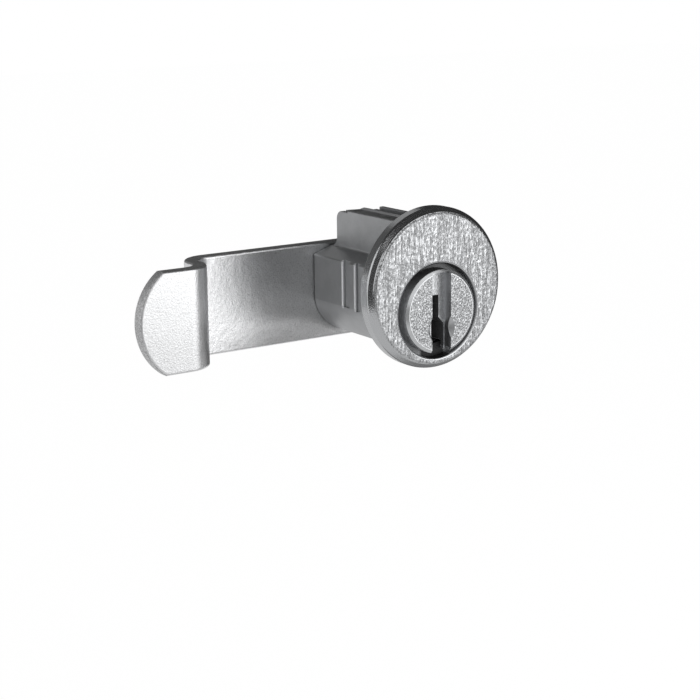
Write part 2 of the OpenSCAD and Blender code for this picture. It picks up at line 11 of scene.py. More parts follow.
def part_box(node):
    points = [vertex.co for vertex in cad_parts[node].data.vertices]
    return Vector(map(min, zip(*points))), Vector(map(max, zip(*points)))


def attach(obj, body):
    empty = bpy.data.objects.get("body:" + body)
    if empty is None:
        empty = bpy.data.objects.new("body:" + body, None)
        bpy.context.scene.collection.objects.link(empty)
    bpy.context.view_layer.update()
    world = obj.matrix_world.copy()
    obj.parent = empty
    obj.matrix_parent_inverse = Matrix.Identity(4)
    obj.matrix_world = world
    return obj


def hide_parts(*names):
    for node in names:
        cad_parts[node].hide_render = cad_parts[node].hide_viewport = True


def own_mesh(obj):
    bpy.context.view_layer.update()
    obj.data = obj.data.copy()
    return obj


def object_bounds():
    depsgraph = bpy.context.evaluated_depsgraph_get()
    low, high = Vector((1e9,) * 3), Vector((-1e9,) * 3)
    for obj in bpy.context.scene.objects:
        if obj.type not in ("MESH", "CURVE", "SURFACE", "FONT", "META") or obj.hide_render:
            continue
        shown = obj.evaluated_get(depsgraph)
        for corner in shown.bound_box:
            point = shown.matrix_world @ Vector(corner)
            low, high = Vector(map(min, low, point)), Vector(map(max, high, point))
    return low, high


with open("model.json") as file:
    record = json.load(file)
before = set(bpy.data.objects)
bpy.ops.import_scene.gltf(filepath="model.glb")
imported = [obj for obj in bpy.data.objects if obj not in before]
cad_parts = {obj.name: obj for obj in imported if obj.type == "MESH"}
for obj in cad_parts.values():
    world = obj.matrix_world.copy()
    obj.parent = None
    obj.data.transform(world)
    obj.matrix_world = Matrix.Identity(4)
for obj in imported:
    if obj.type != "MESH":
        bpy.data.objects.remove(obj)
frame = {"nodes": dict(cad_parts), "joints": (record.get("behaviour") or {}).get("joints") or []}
cad_low, cad_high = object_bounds()
nodes = frame["nodes"]


# Shell: head, body and pin tower in one zinc die casting, plated with nickel.
# The body is left as cast, the rim is polished, and the head's face is brushed up and down.
# Shades are shares of the tint. Where there are two, a mask leads from the first to the second.

MM = 0.001
shell_low, shell_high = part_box("shell")
plug_low, plug_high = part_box("plug")
face_y = shell_low.y
axis_z = next(j["pos_m"][2] for j in frame["joints"] if j["name"] == "plug_turn")
head_radius = shell_high.z
plug_head_radius = plug_high.x

FACE_RADIUS = head_radius - 0.85 * MM
RECESS_MOUTH = plug_head_radius + 1.06 * MM
LIP_ROUND = 0.35 * MM
EDGE_FEATHER = 0.05 * MM
STREAK_WIDTH = 0.2 * MM
LINE_PITCH = 0.24 * MM
LINE_SLIP = 0.07 * MM
STREAK_LENGTH = 0.34 * MM
STREAK_DEPTH = 0.04 * MM
BORDER_JAG = 0.24 * MM
BORDER_LINE = 0.13 * MM
BURR_HALF = 0.11 * MM
BURR_HEIGHT = 0.03 * MM
BURR_START = 1.0 * MM
BURR_FULL = 6.0 * MM
BURR_LEAN = -0.25
RIM_PEEL = 0.1 * MM
RIM_RELIEF = 0.004 * MM
CAST_PEEL = 0.45 * MM
CAST_RELIEF = 0.006 * MM
KEYWAY_HALF = 1.7 * MM
BODY_HALF = 6.35 * MM
GROOVE_ROUND = 0.36 * MM
GROOVE_DROP = 1.2 * MM
GROOVE_REARS = (8.4 * MM, 11.5 * MM)
NICKEL_TINT = (0.965, 0.98, 1.0, 1.0)
RIM_SHADE = 0.56
CAST_SHADES = (0.42, 0.48)
PAINTED_GLINT_SHADE = 0.82
BORDER_PAINTED_SHADE = 0.16
VALLEY_SHADE = 0.22
BEAD_SHADES = (0.46, 0.94)
FACE_SPARKLE = 0.3
RECESS_PAINTED_SHADE = 0.3
RECESS_TOP_PAINTED_SHADE = 0.17
KEYWAY_PAINTED_SHADOW = 0.05
RIM_ROUGH = 0.2
CAST_ROUGH = (0.38, 0.44)
GLINT_ROUGH = 0.3
RECESS_ROUGH = 0.5
FACE_ROUGH = (0.42, 0.3)
RIDGE_SHARE = 0.6
CAST_TONE = 2.5 * MM
NOISE_LOW = 0.3
NOISE_HIGH = 0.7


def add_node(tree, kind, feeds=None, **settings):
    """Adds one shader node; settings are its properties, feeds its inputs, each a value or a socket."""
    made = tree.nodes.new("ShaderNode" + kind)
    for name, value in settings.items():
        setattr(made, name, value)
    for key, value in (feeds or {}).items():
        if isinstance(value, bpy.types.NodeSocket):
            tree.links.new(value, made.inputs[key])
        else:
            made.inputs[key].default_value = value
    return made


def sums(tree, operation, *values):
    """One Math node over numbers and sockets, giving its result."""
    return add_node(tree, "Math", dict(enumerate(values)), operation=operation).outputs[0]


def fade(tree, value, start, end, low=0.0, high=1.0):
    """Carries a value smoothly from start..end onto low..high, and holds it beyond both ends."""
    feeds = {"Value": value, "From Min": start, "From Max": end, "To Min": low, "To Max": high}
    return add_node(tree, "MapRange", feeds, interpolation_type="SMOOTHSTEP").outputs["Result"]


def between(tree, mask, low, high):
    """A number that goes from low to high as the mask goes from 0 to 1."""
    return add_node(tree, "Mix", {0: mask, 2: low, 3: high}).outputs[0]


def start_group(name, inputs, outputs):
    """An empty shader group: inputs are (name, kind, default), outputs are names of numbers."""
    tree = bpy.data.node_groups.new(name, "ShaderNodeTree")
    for label, kind, default in inputs:
        socket = tree.interface.new_socket(label, in_out="INPUT", socket_type=kind)
        if default is not None:
            socket.default_value = default
    for label in outputs:
        tree.interface.new_socket(label, in_out="OUTPUT", socket_type="NodeSocketFloat")
    return tree, tree.nodes.new("NodeGroupInput").outputs, tree.nodes.new("NodeGroupOutput").inputs


def make_grain():
    """Group for grained metal: noise over X and Y in widths and over Z in lengths. Ridge goes from the
    valleys to the tops of short grains, Column does so for lines eight times as long, and Sparkle
    marks the few brightest tops."""
    tree, given, result = start_group(
        "metal_grain",
        [
            ("Vector", "NodeSocketVector", None),
            ("Width", "NodeSocketFloat", 0.0003),
            ("Length", "NodeSocketFloat", 0.0003),
        ],
        ["Ridge", "Column", "Sparkle"],
    )
    place = add_node(tree, "SeparateXYZ", {"Vector": given["Vector"]}).outputs
    across = sums(tree, "DIVIDE", place["X"], given["Width"])
    deep = sums(tree, "DIVIDE", place["Y"], given["Width"])
    along = sums(tree, "DIVIDE", place["Z"], given["Length"])
    grid = add_node(tree, "CombineXYZ", {"X": across, "Y": deep, "Z": along}).outputs[0]
    drawn = add_node(tree, "VectorMath", {0: grid, 1: (0.9, 0.9, 0.125)}, operation="MULTIPLY").outputs[0]
    shifted = add_node(tree, "VectorMath", {0: grid, 1: (17.0, 5.0, 9.0)}, operation="ADD").outputs[0]
    grained = {"Scale": 0.8, "Detail": 1.0, "Roughness": 0.5}
    ridge = add_node(tree, "TexNoise", {"Vector": grid, **grained}).outputs[0]
    column = add_node(tree, "TexNoise", {"Vector": drawn, **grained}).outputs[0]
    tops = add_node(tree, "TexNoise", {"Vector": shifted, "Scale": 0.7, "Detail": 0.0}).outputs[0]
    tree.links.new(fade(tree, ridge, NOISE_LOW, NOISE_HIGH), result["Ridge"])
    tree.links.new(fade(tree, column, NOISE_LOW, NOISE_HIGH), result["Column"])
    tree.links.new(fade(tree, tops, 0.6, 0.75), result["Sparkle"])
    return tree


def make_disc_zone():
    """Group for a flat disc on the front: 1 inside Radius round an axis along Y at Height and not
    deeper than Depth along Y, falling to 0 over Feather. Jag moves the disc's edge in and out."""
    tree, given, result = start_group(
        "disc_zone",
        [
            ("Vector", "NodeSocketVector", None),
            ("Height", "NodeSocketFloat", 0.0),
            ("Radius", "NodeSocketFloat", 0.01),
            ("Depth", "NodeSocketFloat", 0.0),
            ("Feather", "NodeSocketFloat", 0.0001),
            ("Jag", "NodeSocketFloat", 0.0),
        ],
        ["Zone"],
    )
    place = add_node(tree, "SeparateXYZ", {"Vector": given["Vector"]}).outputs
    rise = sums(tree, "SUBTRACT", place["Z"], given["Height"])
    across_square = sums(tree, "MULTIPLY", place["X"], place["X"])
    squares = sums(tree, "ADD", across_square, sums(tree, "MULTIPLY", rise, rise))
    reach = sums(tree, "ADD", sums(tree, "SQRT", squares), given["Jag"])
    inside = fade(tree, sums(tree, "SUBTRACT", given["Radius"], reach), 0.0, given["Feather"])
    front = sums(tree, "LESS_THAN", place["Y"], given["Depth"])
    tree.links.new(sums(tree, "MULTIPLY", inside, front), result["Zone"])
    return tree


def make_mottle():
    """Group for the slow change of tone over plated metal: soft noise of the given size, 0 to 1."""
    tree, given, result = start_group(
        "plating_mottle",
        [("Vector", "NodeSocketVector", None), ("Size", "NodeSocketFloat", 0.003)],
        ["Tone"],
    )
    scale = sums(tree, "DIVIDE", 1.0, given["Size"])
    feeds = {"Vector": given["Vector"], "Scale": scale, "Detail": 4.0, "Roughness": 0.6}
    tone = add_node(tree, "TexNoise", feeds).outputs[0]
    tree.links.new(fade(tree, tone, NOISE_LOW, NOISE_HIGH), result["Tone"])
    return tree


def use_group(tree, group, feeds):
    """Places a shader group in a material and gives its outputs."""
    return add_node(tree, "Group", feeds, node_tree=group).outputs


def start_metal(name):
    """A bare metal material: its tree, its shader and the object's own coordinates."""
    material = bpy.data.materials.new(name)
    material.use_nodes = True
    tree = material.node_tree
    shader = tree.nodes["Principled BSDF"]
    shader.inputs["Metallic"].default_value = 1.0
    return material, tree, shader, tree.nodes.new("ShaderNodeTexCoord").outputs["Object"]


def finish_metal(tree, shader, shade, tint, rough, height, relief):
    """Joins a material up: shade times tint to the colour, rough to the roughness, height as relief."""
    ramp = add_node(tree, "ValToRGB", {"Fac": shade})
    ramp.color_ramp.elements[0].color = (0.0, 0.0, 0.0, 1.0)
    ramp.color_ramp.elements[1].color = tint
    bump = add_node(tree, "Bump", {"Height": height, "Distance": relief, "Strength": 1.0})
    tree.links.new(ramp.outputs["Color"], shader.inputs["Base Color"])
    tree.links.new(rough, shader.inputs["Roughness"])
    tree.links.new(bump.outputs["Normal"], shader.inputs["Normal"])


def dress(material, *names):
    """Gives CAD nodes a material, in the slots that they have."""
    for name in names:
        for slot in nodes[name].material_slots:
            slot.material = material


grain = make_grain()
disc_zone = make_disc_zone()
mottle = make_mottle()


def make_shell_nickel():
    """Cast body in dull nickel with painted highlights on the rear edges of the clip grooves, a polished
    rim, and a face brushed in upright lines. The face ends in a ragged border, raised and lined with
    painted shade along its upper side. The recess round the plug is dull and darkened with painted shade,
    most at its top and where the keyway opens into it."""
    material, tree, shader, place = start_metal("shell_nickel")
    axes = add_node(tree, "SeparateXYZ", {"Vector": place}).outputs
    streaks = use_group(tree, grain, {"Vector": place, "Width": STREAK_WIDTH, "Length": STREAK_LENGTH})
    tone = use_group(tree, mottle, {"Vector": place, "Size": CAST_TONE})["Tone"]
    peel = use_group(tree, grain, {"Vector": place, "Width": CAST_PEEL, "Length": CAST_PEEL})["Ridge"]
    polish = use_group(tree, grain, {"Vector": place, "Width": RIM_PEEL, "Length": RIM_PEEL})["Ridge"]

    face_zone = {
        "Vector": place,
        "Radius": FACE_RADIUS + BORDER_JAG / 2,
        "Depth": face_y + LIP_ROUND,
        "Feather": EDGE_FEATHER,
        "Jag": sums(tree, "MULTIPLY", streaks["Ridge"], BORDER_JAG),
    }
    disc = use_group(tree, disc_zone, face_zone)["Zone"]
    face_edge = face_zone["Radius"]
    wide_disc = use_group(tree, disc_zone, dict(face_zone, Radius=face_edge + BORDER_LINE))["Zone"]
    border = sums(tree, "SUBTRACT", wide_disc, disc)
    burr_zone = dict(face_zone, Feather=BURR_HALF, Jag=0.0)
    burr_out = use_group(tree, disc_zone, dict(burr_zone, Radius=face_edge + 2 * BURR_HALF))["Zone"]
    burr_in = use_group(tree, disc_zone, dict(burr_zone, Radius=face_edge + BURR_HALF))["Zone"]
    burr_rise = sums(tree, "MULTIPLY_ADD", axes["X"], BURR_LEAN, axes["Z"])
    burr_side = fade(tree, burr_rise, BURR_START, BURR_FULL)
    burr = sums(tree, "MULTIPLY", sums(tree, "SUBTRACT", burr_out, burr_in), burr_side)
    recess = use_group(tree, disc_zone, {
        "Vector": place,
        "Height": axis_z,
        "Radius": RECESS_MOUTH,
        "Depth": 0.0,
        "Feather": EDGE_FEATHER,
    })["Zone"]
    brushed = sums(tree, "MULTIPLY", disc, sums(tree, "SUBTRACT", 1.0, recess))
    cast = fade(tree, axes["Y"], -EDGE_FEATHER, 0.0)
    past_lip = fade(tree, axes["Y"], face_y + LIP_ROUND / 8, face_y + LIP_ROUND / 3)
    inside = sums(tree, "MULTIPLY", recess, past_lip)
    below = sums(tree, "LESS_THAN", axes["Z"], axis_z - plug_head_radius / 2)
    beside = fade(tree, sums(tree, "ABSOLUTE", axes["X"]), KEYWAY_HALF, 1.3 * KEYWAY_HALF, 1.0, 0.0)
    under_keyway_shadow = sums(tree, "MULTIPLY", below, beside)
    overhead = fade(tree, axes["Z"], axis_z + plug_head_radius / 2, axis_z + plug_head_radius)

    sunk = sums(tree, "SUBTRACT", BODY_HALF, sums(tree, "ABSOLUTE", axes["X"]))
    on_round = sums(
        tree,
        "MULTIPLY",
        fade(tree, sunk, 0.0, EDGE_FEATHER),
        fade(tree, sunk, GROOVE_ROUND, GROOVE_ROUND + EDGE_FEATHER, 1.0, 0.0),
    )
    above = sums(tree, "MULTIPLY", on_round, sums(tree, "GREATER_THAN", axes["Z"], axis_z - GROOVE_DROP))
    behind = 0.0
    for rear in GROOVE_REARS:
        past = sums(tree, "SUBTRACT", axes["Y"], rear)
        here = sums(
            tree,
            "MULTIPLY",
            fade(tree, past, -EDGE_FEATHER, 0.0),
            fade(tree, past, GROOVE_ROUND, GROOVE_ROUND + EDGE_FEATHER, 1.0, 0.0),
        )
        behind = sums(tree, "MAXIMUM", behind, here)
    # Painted highlight: a bright band on the rounded rear edge of each clip groove.
    glint = sums(tree, "MULTIPLY", above, behind)

    cast_shade = between(tree, glint, between(tree, tone, *CAST_SHADES), PAINTED_GLINT_SHADE)
    plain_shade = between(tree, cast, RIM_SHADE, cast_shade)
    # Painted shade: a dark line along the face's border, on its upper side only.
    painted_border_line = sums(tree, "MULTIPLY", border, burr_side)
    line_shade = between(tree, painted_border_line, plain_shade, BORDER_PAINTED_SHADE)
    slipped = sums(tree, "MULTIPLY_ADD", streaks["Column"], LINE_SLIP, axes["X"])
    wave = sums(tree, "SINE", sums(tree, "MULTIPLY", slipped, 2 * math.pi / LINE_PITCH))
    lines = sums(tree, "MULTIPLY_ADD", wave, 0.5, 0.5)
    drawn = sums(tree, "MULTIPLY", sums(tree, "ADD", lines, streaks["Column"]), 0.5)
    bead_shade = between(tree, streaks["Ridge"], *BEAD_SHADES)
    streak_shade = between(tree, drawn, VALLEY_SHADE, bead_shade)
    face_shade = sums(tree, "ADD", streak_shade, sums(tree, "MULTIPLY", streaks["Sparkle"], FACE_SPARKLE))
    lit_shade = between(tree, brushed, line_shade, face_shade)
    # Painted shade: the recess is darkened, more at its top and most where the keyway opens into it.
    floor_shade = between(tree, under_keyway_shadow, RECESS_PAINTED_SHADE, KEYWAY_PAINTED_SHADOW)
    recess_shade = between(tree, overhead, floor_shade, RECESS_TOP_PAINTED_SHADE)
    shade = between(tree, inside, lit_shade, recess_shade)

    cast_rough = between(tree, glint, between(tree, tone, *CAST_ROUGH), GLINT_ROUGH)
    plain_rough = between(tree, cast, RIM_ROUGH, cast_rough)
    dull_rough = between(tree, inside, plain_rough, RECESS_ROUGH)
    rough = between(tree, brushed, dull_rough, between(tree, streaks["Ridge"], *FACE_ROUGH))

    ridges = sums(tree, "ADD", streaks["Ridge"], drawn)
    brushed_height = sums(tree, "MULTIPLY", sums(tree, "MULTIPLY", ridges, RIDGE_SHARE), brushed)
    plain_height = between(
        tree,
        cast,
        sums(tree, "MULTIPLY", polish, RIM_RELIEF / STREAK_DEPTH),
        sums(tree, "MULTIPLY", peel, CAST_RELIEF / STREAK_DEPTH),
    )
    edge_height = sums(tree, "MULTIPLY_ADD", burr, BURR_HEIGHT / STREAK_DEPTH, plain_height)
    height = sums(tree, "ADD", brushed_height, edge_height)
    finish_metal(tree, shader, shade, NICKEL_TINT, rough, height, STREAK_DEPTH)
    return material


dress(make_shell_nickel(), "shell")


# Tumbler cover: a drawn metal strip that closes the pin chambers.
# It is slid into the dovetail of the tower from the rear, and its edges are staked by the rails.

DRAWN_WIDTH = 0.08 * MM
DRAWN_LENGTH = 40 * DRAWN_WIDTH
DRAWN_RELIEF = 0.004 * MM
COVER_TONE = 3.0 * MM
COVER_SHADES = (0.4, 0.5)
COVER_MOTTLE = 0.06
COVER_ROUGH = (0.28, 0.38)


def make_cover_metal():
    """Drawn strip: fine lines along the tower, slightly uneven in tone."""
    material, tree, shader, place = start_metal("cover_strip")
    turned = add_node(tree, "Mapping", {"Vector": place, "Rotation": (math.pi / 2, 0.0, 0.0)}).outputs[0]
    drawn = {"Vector": turned, "Width": DRAWN_WIDTH, "Length": DRAWN_LENGTH}
    lines = use_group(tree, grain, drawn)["Ridge"]
    tone = use_group(tree, mottle, {"Vector": place, "Size": COVER_TONE})["Tone"]
    line_shade = between(tree, lines, *COVER_SHADES)
    shade = sums(tree, "ADD", line_shade, sums(tree, "MULTIPLY", tone, COVER_MOTTLE))
    finish_metal(tree, shader, shade, NICKEL_TINT, between(tree, tone, *COVER_ROUGH), lines, DRAWN_RELIEF)
    return material


dress(make_cover_metal(), "tumbler_cover")


# Plug: the turned brass cylinder that takes the key, plated with nickel.
# Its face is blasted to a fine speckle, its edge and groove are bright, and its keyway is dull. A ring of
# painted highlight edges the face, painted light brightens the foot of the groove walls, and painted shade
# darkens the keyway and the crest of the sides.

SPECKLE = 0.15 * MM
SPECKLE_RELIEF = 0.022 * MM
PLUG_BEVEL = 0.4 * MM
BEVEL_DEPTH = 0.33 * MM
FACE_SKIN = 0.02 * MM
RING_LINE = 0.1 * MM
PLUG_BARREL = 4.75 * MM
HEAD_BACK = -0.9 * MM
GROOVE_SINK = 1.6 * MM
PLUG_TONE = 1.5 * MM
SPECKLE_SHADES = (0.22, 0.58)
SPECKLE_SPARKLE = 0.32
FLOOR_SHADES = (0.46, 0.64)
WALL_SHADES = (0.5, 0.6)
WALL_FOOT_PAINTED_LIGHT = 0.9
SLOT_PAINTED_SHADES = (0.34, 0.13)
BEVEL_SHADES = (0.6, 0.68)
SIDE_SHADES = (0.82, 0.92)
CREST_PAINTED_SHADE = 0.16
RING_PAINTED_HIGHLIGHT = 0.8
SPECKLE_ROUGH = (0.42, 0.3)
WALL_ROUGH = 0.42
BEVEL_ROUGH = 0.24
SIDE_ROUGH = (0.54, 0.6)
FLOOR_RELIEF = 0.4
EDGE_RELIEF = 0.1
groove_y = plug_low.y + GROOVE_SINK


def make_plug_nickel():
    """Speckled face inside a ring of painted highlight, a calmer floor in the groove whose walls get
    painted light at their foot, sides darkened at the crest by painted shade, and a keyway without shine
    that painted shade darkens deeper in."""
    material, tree, shader, place = start_metal("plug_nickel")
    axes = add_node(tree, "SeparateXYZ", {"Vector": place}).outputs
    along = axes["Y"]
    speckle = use_group(tree, grain, {"Vector": place, "Width": SPECKLE, "Length": 1.3 * SPECKLE})
    tone = use_group(tree, mottle, {"Vector": place, "Size": PLUG_TONE})["Tone"]

    head_zone = {
        "Vector": place,
        "Height": axis_z,
        "Radius": plug_head_radius - PLUG_BEVEL,
        "Depth": HEAD_BACK,
        "Feather": 2 * FACE_SKIN,
    }
    head_core = use_group(tree, disc_zone, head_zone)["Zone"]
    in_ring = use_group(tree, disc_zone, dict(head_zone, Radius=head_zone["Radius"] - RING_LINE))["Zone"]
    barrel_zone = dict(head_zone, Radius=PLUG_BARREL - 2 * FACE_SKIN, Depth=plug_high.y)
    barrel_core = use_group(tree, disc_zone, barrel_zone)["Zone"]
    core = sums(tree, "MAXIMUM", head_core, barrel_core)
    past_floor = fade(tree, along, groove_y + FACE_SKIN, groove_y + 2 * FACE_SKIN)
    before_floor = fade(tree, along, groove_y - 2 * FACE_SKIN, groove_y - FACE_SKIN, 1.0, 0.0)
    behind_face = fade(tree, along, plug_low.y + FACE_SKIN, plug_low.y + 2 * FACE_SKIN)
    walls = sums(tree, "MULTIPLY", before_floor, behind_face)
    keyway = fade(tree, along, groove_y + FACE_SKIN, groove_y + 8 * FACE_SKIN)
    near_floor = fade(tree, along, (plug_low.y + groove_y) / 2, groove_y)
    at_face = fade(tree, along, plug_low.y + FACE_SKIN, plug_low.y + 2 * FACE_SKIN, 1.0, 0.0)
    # Painted highlight: a thin bright ring round the face, just inside the bevel.
    ring = sums(tree, "MULTIPLY", at_face, sums(tree, "SUBTRACT", head_core, in_ring))
    side = fade(tree, along, plug_low.y + BEVEL_DEPTH, plug_low.y + 1.3 * BEVEL_DEPTH)

    speckle_shade = between(tree, speckle["Ridge"], *SPECKLE_SHADES)
    sparkle_shade = sums(tree, "MULTIPLY", speckle["Sparkle"], SPECKLE_SPARKLE)
    flat_shade = sums(tree, "ADD", speckle_shade, sparkle_shade)
    floor_shade = between(tree, speckle["Ridge"], *FLOOR_SHADES)
    # Painted light: the groove walls grow bright towards the floor of the groove.
    wall_shade = between(tree, near_floor, between(tree, tone, *WALL_SHADES), WALL_FOOT_PAINTED_LIGHT)
    cut_shade = between(tree, walls, between(tree, before_floor, floor_shade, flat_shade), wall_shade)
    # Painted shade: the keyway grows darker from its mouth inwards.
    core_shade = between(tree, past_floor, cut_shade, between(tree, keyway, *SLOT_PAINTED_SHADES))
    # Painted shade: the sides of the plug darken towards their crest.
    crest = fade(tree, axes["Z"], axis_z + plug_head_radius / 2, axis_z + plug_head_radius)
    side_shade = between(tree, crest, between(tree, tone, *SIDE_SHADES), CREST_PAINTED_SHADE)
    edge_shade = between(tree, side, between(tree, tone, *BEVEL_SHADES), side_shade)
    shade = between(tree, ring, between(tree, core, edge_shade, core_shade), RING_PAINTED_HIGHLIGHT)

    core_rough = between(tree, walls, between(tree, speckle["Ridge"], *SPECKLE_ROUGH), WALL_ROUGH)
    edge_rough = between(tree, side, BEVEL_ROUGH, between(tree, tone, *SIDE_ROUGH))
    rough = between(tree, core, edge_rough, core_rough)
    dull = sums(tree, "MULTIPLY", core, keyway)
    tree.links.new(sums(tree, "SUBTRACT", 1.0, dull), shader.inputs["Metallic"])

    plain = sums(tree, "MAXIMUM", walls, ring)
    bare = sums(tree, "MULTIPLY", core, sums(tree, "SUBTRACT", 1.0, plain))
    flat = sums(tree, "MULTIPLY", bare, between(tree, before_floor, FLOOR_RELIEF, 1.0))
    height = between(tree, flat, sums(tree, "MULTIPLY", tone, EDGE_RELIEF), speckle["Ridge"])
    finish_metal(tree, shader, shade, NICKEL_TINT, rough, height, SPECKLE_RELIEF)
    return material


dress(make_plug_nickel(), "plug")


# Key pins and driver pins: small brass pins turned from bar, in the plug and in the tower.
# The cutter leaves fine rings round them.

RING_PITCH = 0.06 * MM
RING_SPAN = 60 * RING_PITCH
RING_RELIEF = 0.003 * MM
BRASS_TINT = (1.0, 0.76, 0.4, 1.0)
BRASS_TONE = 0.8 * MM
BRASS_SHADES = (0.6, 0.72)
BRASS_TARNISH = 0.12
BRASS_ROUGH = (0.22, 0.36)
PIN_COUNT = 5


def make_pin_brass():
    """Turned brass: rings across the pin's length, and a little tarnish."""
    material, tree, shader, place = start_metal("pin_brass")
    turned = {"Vector": place, "Width": RING_SPAN, "Length": RING_PITCH}
    rings = use_group(tree, grain, turned)["Ridge"]
    tone = use_group(tree, mottle, {"Vector": place, "Size": BRASS_TONE})["Tone"]
    ring_shade = between(tree, rings, *BRASS_SHADES)
    shade = sums(tree, "ADD", ring_shade, sums(tree, "MULTIPLY", tone, BRASS_TARNISH))
    finish_metal(tree, shader, shade, BRASS_TINT, between(tree, tone, *BRASS_ROUGH), rings, RING_RELIEF)
    return material


pin_brass = make_pin_brass()
pin_numbers = range(1, PIN_COUNT + 1)
dress(pin_brass, *[f"key_pin_{i}" for i in pin_numbers], *[f"driver_pin_{i}" for i in pin_numbers])


# Driver springs: coils of hard-drawn steel wire between the driver pins and the cover.
# Each has closed end turns.

WIRE_RADIUS = 0.14 * MM
COIL_TURNS = 6.5
END_TURNS = 0.8
TURN_STEPS = 40
WIRE_SIDES = 12
STEEL_TINT = (0.98, 0.985, 1.0, 1.0)
WIRE_TONE = 0.6 * MM
WIRE_GRAIN = 0.1 * MM
WIRE_SHADES = (0.36, 0.5)
WIRE_ROUGH = (0.25, 0.4)


def coil_spring(low, high):
    """A round wire on a helix inside a box: the angle runs evenly along the wire, the height rises by one
    wire over each end turn and evenly between them. Gives rings of points, (rings, sides, 3)."""
    turn = np.linspace(0.0, COIL_TURNS, int(COIL_TURNS * TURN_STEPS) + 1)
    share = np.clip((turn - END_TURNS) / (COIL_TURNS - 2 * END_TURNS), 0.0, 1.0)
    first_turn = np.clip(turn / END_TURNS, 0.0, 1.0)
    last_turn = np.clip((turn - COIL_TURNS + END_TURNS) / END_TURNS, 0.0, 1.0)
    closing = first_turn + last_turn
    closed_rise = 2 * WIRE_RADIUS
    open_rise = high.z - low.z - 2 * WIRE_RADIUS - 2 * closed_rise
    height = low.z + WIRE_RADIUS + closed_rise * closing + open_rise * share
    angle = 2 * np.pi * turn
    coil_radius = (high.x - low.x) / 2 - WIRE_RADIUS
    side = np.linspace(0.0, 2 * np.pi, WIRE_SIDES, endpoint=False)
    reach = coil_radius + WIRE_RADIUS * np.cos(side)[None, :]
    return np.stack([
        (low.x + high.x) / 2 + reach * np.cos(angle)[:, None],
        (low.y + high.y) / 2 + reach * np.sin(angle)[:, None],
        height[:, None] + WIRE_RADIUS * np.sin(side)[None, :],
    ], axis=-1)


def tube_mesh(name, rings):
    """A closed tube over rings of points: quads between neighbouring rings and a flat cap at each end."""
    count, sides, _ = rings.shape
    index = np.arange(count * sides).reshape(count, sides)
    beside = np.roll(index, -1, axis=1)
    quads = np.stack([index[:-1], index[1:], beside[1:], beside[:-1]], axis=-1).reshape(-1, 4)
    faces = quads.tolist() + [index[0].tolist(), index[-1][::-1].tolist()]
    mesh = bpy.data.meshes.new(name)
    mesh.from_pydata(rings.reshape(-1, 3).tolist(), [], faces)
    mesh.shade_smooth()
    return mesh


def make_spring_wire():
    """Drawn steel wire, grey and slightly mottled."""
    material, tree, shader, place = start_metal("spring_wire")
    tone = use_group(tree, mottle, {"Vector": place, "Size": WIRE_TONE})["Tone"]
    fine = use_group(tree, grain, {"Vector": place, "Width": WIRE_GRAIN, "Length": WIRE_GRAIN})["Ridge"]
    shade = between(tree, tone, *WIRE_SHADES)
    finish_metal(tree, shader, shade, STEEL_TINT, between(tree, fine, *WIRE_ROUGH), fine, RING_RELIEF)
    return material


spring_wire = make_spring_wire()
for i in pin_numbers:
    spring_low, spring_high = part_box(f"driver_spring_{i}")
    spring_name = f"coil_spring_{i}"
    spring = bpy.data.objects.new(spring_name, tube_mesh(spring_name, coil_spring(spring_low, spring_high)))
    bpy.context.scene.collection.objects.link(spring)
    spring.data.materials.append(spring_wire)
    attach(spring, "shell")
    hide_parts(f"driver_spring_{i}")
    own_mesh(spring)


# Cam: a blanked strip of steel with two bends, plated with zinc and keyed to the plug's tail.
# Its faces carry the fine speckle of the plating; its sheared edges are rougher and darker. Painted shade
# darkens the long edges further, and also the strip next to the body and the tip.

cam_low, cam_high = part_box("cam")
CAM_TIP_RISE = 3.6 * MM
CAM_EDGE = 0.3 * MM
CAM_SHADE_FULL = -12.0 * MM
CAM_BRIGHT = -20.0 * MM
ZINC_SPECKLE = 0.17 * MM
ZINC_RELIEF = 0.006 * MM
ZINC_RIPPLE = 0.9 * MM
RIPPLE_RELIEF = 0.014 * MM
ZINC_TINT = (0.985, 0.99, 1.0, 1.0)
ZINC_CLOUDS = 4.0 * MM
ZINC_SHADES = (0.78, 0.97)
TIP_PAINTED_SHADE = 0.17
CLOUD_SHADE = 0.06
PEAK_SHADE = 0.08
PIT_SHADE = 0.1
LONG_EDGE_PAINTED_SHADES = (0.3, 0.48)
ARC_SHADES = (0.45, 0.75)
ZINC_ROUGH = (0.3, 0.34)
ARC_ROUGH = 0.55


